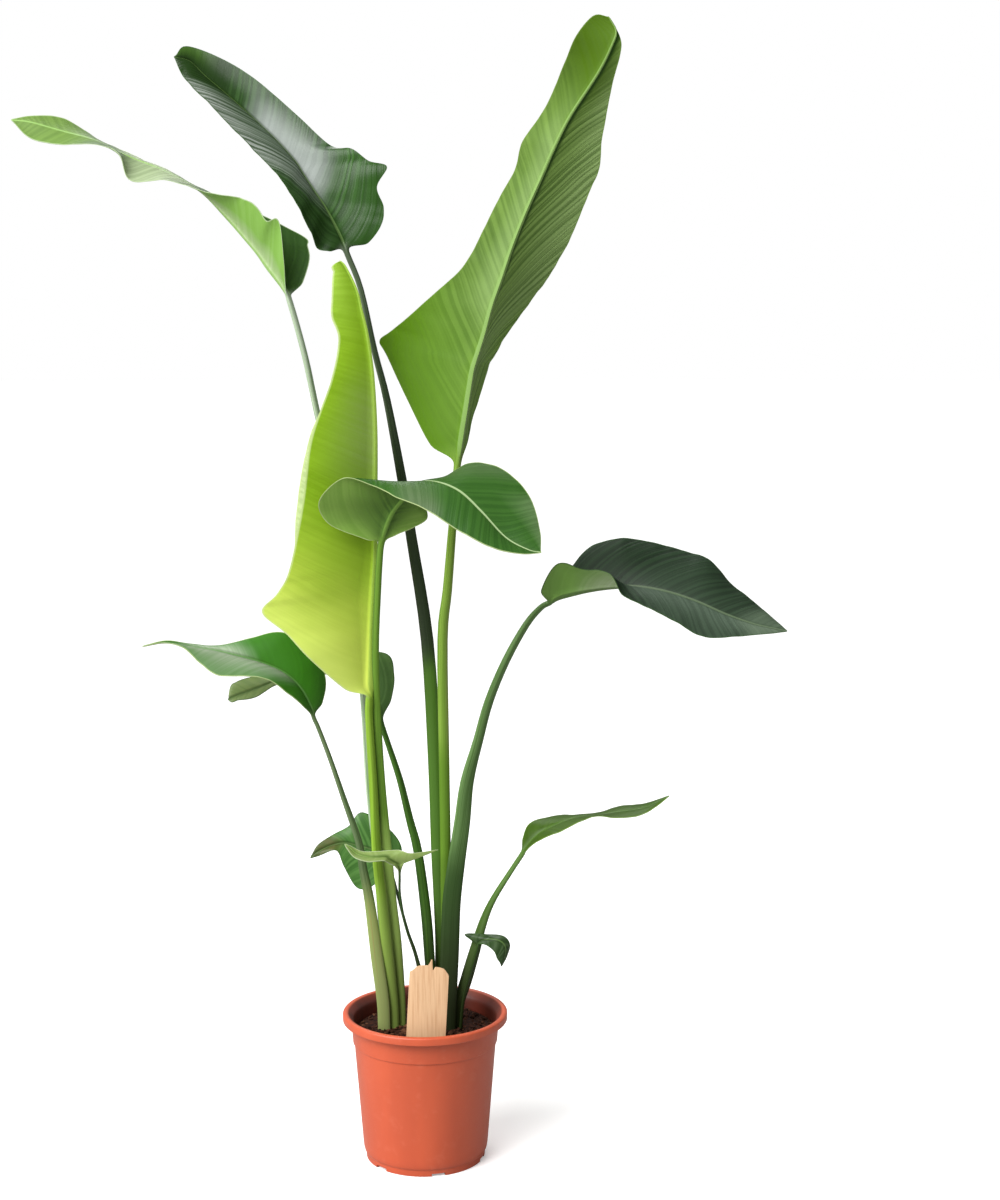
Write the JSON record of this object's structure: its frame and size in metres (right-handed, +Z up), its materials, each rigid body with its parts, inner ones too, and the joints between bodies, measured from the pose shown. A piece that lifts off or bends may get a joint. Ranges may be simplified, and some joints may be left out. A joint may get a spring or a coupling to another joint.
{
  "type": "potted giant white bird of paradise plant",
  "caption": "Tall leafy houseplant in a round plastic nursery pot: long upright stalks carry broad paddle leaves above moist soil, with a small blank wooden label.",
  "frame": {"origin": "on the pot's axis at the level of the ground, the middle of the pot's flat base pad", "axes": "+Z up along the pot's axis; the plant's fan of leaves is seen broadside from -Y; +X to the right in that view"},
  "size_m": [0.7558, 0.2612, 1.1314],
  "materials": {
    "pot": "satin terracotta-coloured polypropylene",
    "soil": "coarse moist potting mix",
    "label": "bare pale wood",
    "leaf_bright": "young yellow-green leaf, softly waxy",
    "leaf_mid": "mid-green leaf, waxy",
    "leaf_dark": "dark green leaf, glossy above"
  },
  "bodies": {
    "root": {"pot": "pot", "soil": "soil", "plant_label": "label", "leaf_top_right": "leaf_mid", "leaf_front_left": "leaf_bright", "leaf_top_left": "leaf_dark", "leaf_far_left": "leaf_bright", "leaf_arching_centre": "leaf_mid", "leaf_right": "leaf_dark", "leaf_lower_left": "leaf_mid", "leaf_behind_left": "leaf_dark", "leaf_low_dark": "leaf_dark", "leaf_low_pale": "leaf_bright", "leaf_low_right": "leaf_mid", "leaf_low_folded": "leaf_dark"}
  },
  "joints": []
}
